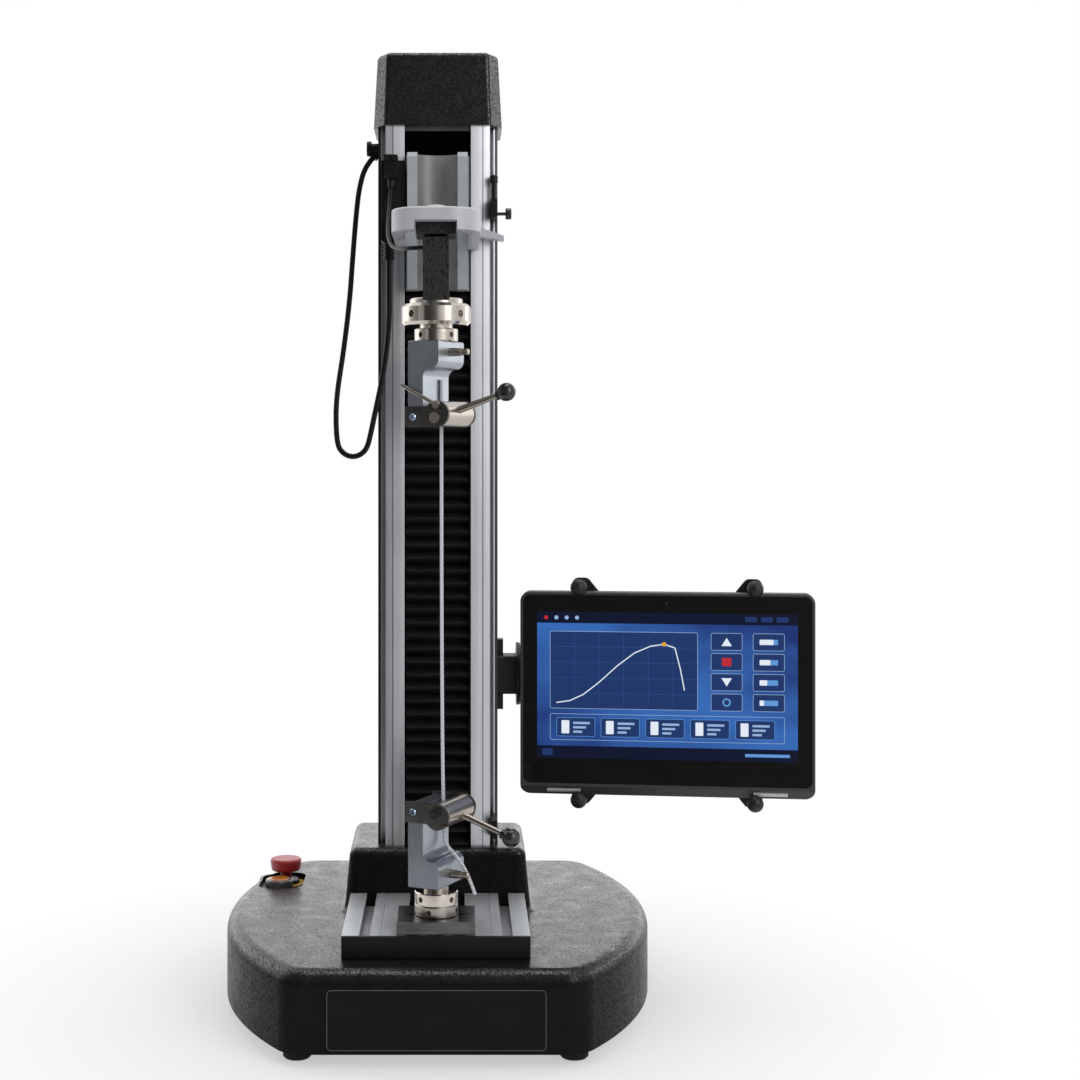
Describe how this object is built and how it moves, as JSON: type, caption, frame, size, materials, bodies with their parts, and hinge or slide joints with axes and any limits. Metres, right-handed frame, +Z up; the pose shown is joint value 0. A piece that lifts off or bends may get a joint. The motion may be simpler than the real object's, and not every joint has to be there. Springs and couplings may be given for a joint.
{
  "type": "universal testing machine",
  "caption": "Single-column bench force tester: screw-driven crosshead with load cell, roller grips, T-slot table, bellows and a tablet console on a swivelling arm.",
  "frame": {"origin": "on the bench, straight below the load axis that both grips share", "axes": "+X to the operator's right, +Y from the operator towards the column, +Z up"},
  "size_m": [0.5844, 0.4515, 0.947],
  "materials": {
    "black_casing": "fine-textured satin black",
    "bare_steel": "brushed, zinc-bright",
    "foot_rubber": "matt",
    "table_aluminium": "drawn, clear anodised",
    "black_plastic": "moulded, lightly grained",
    "dark_steel": "blackened and ground",
    "ground_steel": "turned and ground",
    "nickel": "nickel plated, turned",
    "column_aluminium": "extruded, clear anodised",
    "inner_steel": "plain",
    "board": "solder mask",
    "bellows_rubber": "moulded pleats, dull black",
    "cable_jacket": "smooth jacket",
    "specimen_cord": "twisted cord",
    "carriage_paint": "satin grey",
    "yoke_paint": "satin silver",
    "cell_paint": "satin black",
    "grip_aluminium": "fine-milled",
    "lever_black": "polished ball, blackened stem",
    "bezel_metal": "moulded",
    "orange_lens": "translucent lens",
    "stop_red": "moulded red",
    "arm_coating": "textured black coating",
    "knob_plastic": "moulded",
    "tablet_plastic": "fine-grained",
    "tablet_screen": "cover glass over a lit display",
    "hinge_silver": "satin"
  },
  "bodies": {
    "frame": {"base_housing": "black_casing", "base_plate": "bare_steel", "rubber_feet": "foot_rubber", "work_table": "table_aluminium", "table_end_cap": "black_plastic", "adapter_plate": "dark_steel", "lower_adapter": "ground_steel", "column": "column_aluminium", "top_cap": "black_casing", "guide_rails": "bare_steel", "screw_bearings": "inner_steel", "drive_motor": "inner_steel", "control_board": "board", "lower_bellows": "bellows_rubber", "upper_bellows": "bellows_rubber", "cable_gland": "black_plastic", "signal_cable": "cable_jacket", "test_specimen": "specimen_cord", "control_panel": "black_plastic", "start_bezel": "bezel_metal", "estop_body": "black_plastic", "power_inlet": "black_plastic", "arm_base": "arm_coating", "lower_grip_body": "grip_aluminium", "lower_grip_plates": "dark_steel"},
    "crosshead": {"carriage": "carriage_paint", "guide_blocks": "inner_steel", "screw_nut": "bare_steel", "yoke": "yoke_paint", "cell_bolt": "bare_steel", "load_cell": "cell_paint", "upper_adapter": "ground_steel", "connector_housing": "black_plastic", "cell_lead": "cable_jacket", "upper_grip_body": "grip_aluminium", "upper_grip_plates": "dark_steel"},
    "screw": {"drive_screw": "ground_steel", "shaft_coupling": "ground_steel"},
    "upper_cam": {"upper_roller": "ground_steel", "upper_lever": "lever_black"},
    "lower_cam": {"lower_roller": "ground_steel", "lower_lever": "lever_black"},
    "collar": {"adapter_collar": "nickel"},
    "upper_ring": {"upper_lock_ring": "nickel"},
    "lower_ring": {"lower_lock_ring": "nickel"},
    "upper_pin": {"upper_clevis_pin": "bare_steel"},
    "lower_pin": {"lower_clevis_pin": "bare_steel"},
    "emergency_stop": {"estop_head": "stop_red"},
    "start": {"start_button": "orange_lens"},
    "mains_rocker": {"power_rocker": "black_plastic"},
    "upper_limit": {"upper_stop": "bare_steel"},
    "lower_limit": {"lower_stop": "bare_steel"},
    "arm": {"support_arm": "arm_coating"},
    "arm_clamp": {"arm_knob": "knob_plastic"},
    "cradle": {"cradle_hub": "arm_coating", "tablet_shell": "tablet_plastic", "tablet_glass": "tablet_screen", "tablet_hinges": "hinge_silver"},
    "upper_clamp": {"upper_jaw": "arm_coating"},
    "lower_clamp": {"lower_jaw": "arm_coating"}
  },
  "joints": [
    {"name": "crosshead_slide", "type": "slide", "parent": "frame", "child": "crosshead", "axis": [0, 0, 1], "range_m": [-0.33, 0.006], "deforming": ["lower_bellows", "upper_bellows", "signal_cable", "test_specimen"]},
    {"name": "screw_turn", "type": "hinge", "parent": "frame", "child": "screw", "pos_m": [0, 0.178, 0], "axis": [0, 0, 1], "continuous": true},
    {"name": "upper_roller_turn", "type": "hinge", "parent": "crosshead", "child": "upper_cam", "pos_m": [0.01258, -0.00614, 0.5773], "axis": [0.4384, 0.8988, 0], "range_deg": [0, 60]},
    {"name": "lower_roller_turn", "type": "hinge", "parent": "frame", "child": "lower_cam", "pos_m": [0.01258, -0.00614, 0.2177], "axis": [-0.4384, -0.8988, 0], "range_deg": [0, 60]},
    {"name": "collar_turn", "type": "hinge", "parent": "crosshead", "child": "collar", "pos_m": [0, 0, 0.67265], "axis": [0, 0, 1], "continuous": true},
    {"name": "upper_ring_turn", "type": "hinge", "parent": "crosshead", "child": "upper_ring", "pos_m": [0, 0, 0.6539], "axis": [0, 0, 1], "continuous": true},
    {"name": "lower_ring_turn", "type": "hinge", "parent": "frame", "child": "lower_ring", "pos_m": [0, 0, 0.1346], "axis": [0, 0, 1], "continuous": true},
    {"name": "upper_pin_pull", "type": "slide", "parent": "crosshead", "child": "upper_pin", "axis": [0.8988, -0.4384, 0], "range_m": [0, 0.045]},
    {"name": "lower_pin_pull", "type": "slide", "parent": "frame", "child": "lower_pin", "axis": [0.8988, -0.4384, 0], "range_m": [0, 0.045]},
    {"name": "estop_press", "type": "slide", "parent": "frame", "child": "emergency_stop", "axis": [0, 0, -1], "range_m": [0, 0.004], "stiffness_N_per_m": 600, "springref_m": -0.002},
    {"name": "start_press", "type": "slide", "parent": "frame", "child": "start", "axis": [0, 0, -1], "range_m": [0, 0.003], "stiffness_N_per_m": 400, "springref_m": -0.002},
    {"name": "rocker_turn", "type": "hinge", "parent": "frame", "child": "mains_rocker", "pos_m": [-0.095, 0.371, 0.059], "axis": [1, 0, 0], "range_deg": [-8, 8]},
    {"name": "upper_stop_slide", "type": "slide", "parent": "frame", "child": "upper_limit", "axis": [0, 0, 1], "range_m": [-0.006, 0.04]},
    {"name": "lower_stop_slide", "type": "slide", "parent": "frame", "child": "lower_limit", "axis": [0, 0, 1], "range_m": [-0.008, 0.03]},
    {"name": "arm_swivel", "type": "hinge", "parent": "frame", "child": "arm", "pos_m": [0.112, 0.182, 0.318], "axis": [0, 0, 1], "range_deg": [0, 20]},
    {"name": "arm_knob_turn", "type": "hinge", "parent": "arm", "child": "arm_clamp", "pos_m": [0.1695, 0.182, 0.318], "axis": [0, 0, 1], "continuous": true},
    {"name": "tablet_tilt", "type": "hinge", "parent": "arm", "child": "cradle", "pos_m": [0.227, 0.182, 0.318], "axis": [1, 0, 0], "range_deg": [-12, 12]},
    {"name": "upper_jaw_slide", "type": "slide", "parent": "cradle", "child": "upper_clamp", "axis": [0, 0, 1], "range_m": [0, 0.025], "stiffness_N_per_m": 200, "springref_m": -0.02},
    {"name": "lower_jaw_slide", "type": "slide", "parent": "cradle", "child": "lower_clamp", "axis": [0, 0, 1], "range_m": [-0.025, 0]}
  ],
  "couplings": [
    {"joint": "screw_turn", "follows": "crosshead_slide", "rad_per_m": 628.32},
    {"joint": "lower_jaw_slide", "follows": "upper_jaw_slide", "ratio": -1}
  ]
}
